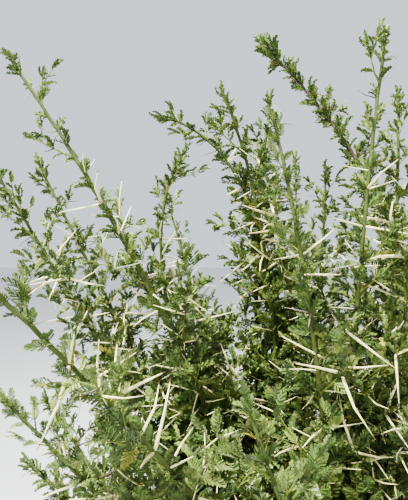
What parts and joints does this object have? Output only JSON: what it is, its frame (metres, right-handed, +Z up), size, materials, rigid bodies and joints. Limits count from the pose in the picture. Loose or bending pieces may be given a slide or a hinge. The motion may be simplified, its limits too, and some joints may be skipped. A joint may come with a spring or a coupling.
{
  "type": "acacia tree",
  "caption": "Young thorny acacia rooted in level ground: short flared trunk, limbs fanning out from its fork, each ending in a leafy shoot with long paired thorns.",
  "frame": {"origin": "centre of the flat cut under the trunk, at ground level, at the mount ground", "axes": "+Z straight up out of the ground, -Y towards the viewer of the picture, +X to the viewer's right"},
  "size_m": [1.3743, 1.2956, 1.962],
  "materials": {
    "bark": "rough fissured bark",
    "green_bark": "smooth young bark",
    "foliage": "matt leaves"
  },
  "bodies": {
    "root": {"trunk": "bark", "long_left_bough": "bark", "centre_front_bough": "bark", "right_old_bough": "bark", "upright_bough": "bark", "back_left_bough": "bark", "right_front_bough": "green_bark", "back_right_bough": "green_bark", "right_low_bough": "green_bark", "front_right_bough": "green_bark", "near_left_bough": "green_bark", "back_mid_bough": "green_bark", "left_edge_bough": "green_bark", "left_inner_bough": "green_bark", "left_low_bough": "green_bark", "pale_thin_bough": "green_bark", "small_mid_bough": "green_bark", "mid_left_bough": "green_bark", "old_arch_bough": "green_bark", "right_edge_bough": "green_bark", "low_left_bough": "green_bark", "low_front_bough": "green_bark", "inner_right_bough": "green_bark", "inner_back_bough": "green_bark", "right_high_bough": "green_bark", "back_far_bough": "green_bark", "back_low_bough": "green_bark", "front_low_bough": "green_bark", "low_edge_bough": "green_bark", "low_mid_bough": "green_bark", "long_left_shoot": "foliage", "centre_front_shoot": "foliage", "right_old_shoot": "foliage", "upright_shoot": "foliage", "back_left_shoot": "foliage", "right_front_shoot": "foliage", "back_right_shoot": "foliage", "right_low_shoot": "foliage", "front_right_shoot": "foliage", "near_left_shoot": "foliage", "back_mid_shoot": "foliage", "left_edge_shoot": "foliage", "left_inner_shoot": "foliage", "left_low_shoot": "foliage", "pale_thin_shoot": "foliage", "small_mid_shoot": "foliage", "mid_left_shoot": "foliage", "old_arch_shoot": "foliage", "right_edge_shoot": "foliage", "low_left_shoot": "foliage", "low_front_shoot": "foliage", "inner_right_shoot": "foliage", "inner_back_shoot": "foliage", "right_high_shoot": "foliage", "back_far_shoot": "foliage", "back_low_shoot": "foliage", "front_low_shoot": "foliage", "low_edge_shoot": "foliage", "low_mid_shoot": "foliage"}
  },
  "joints": []
}
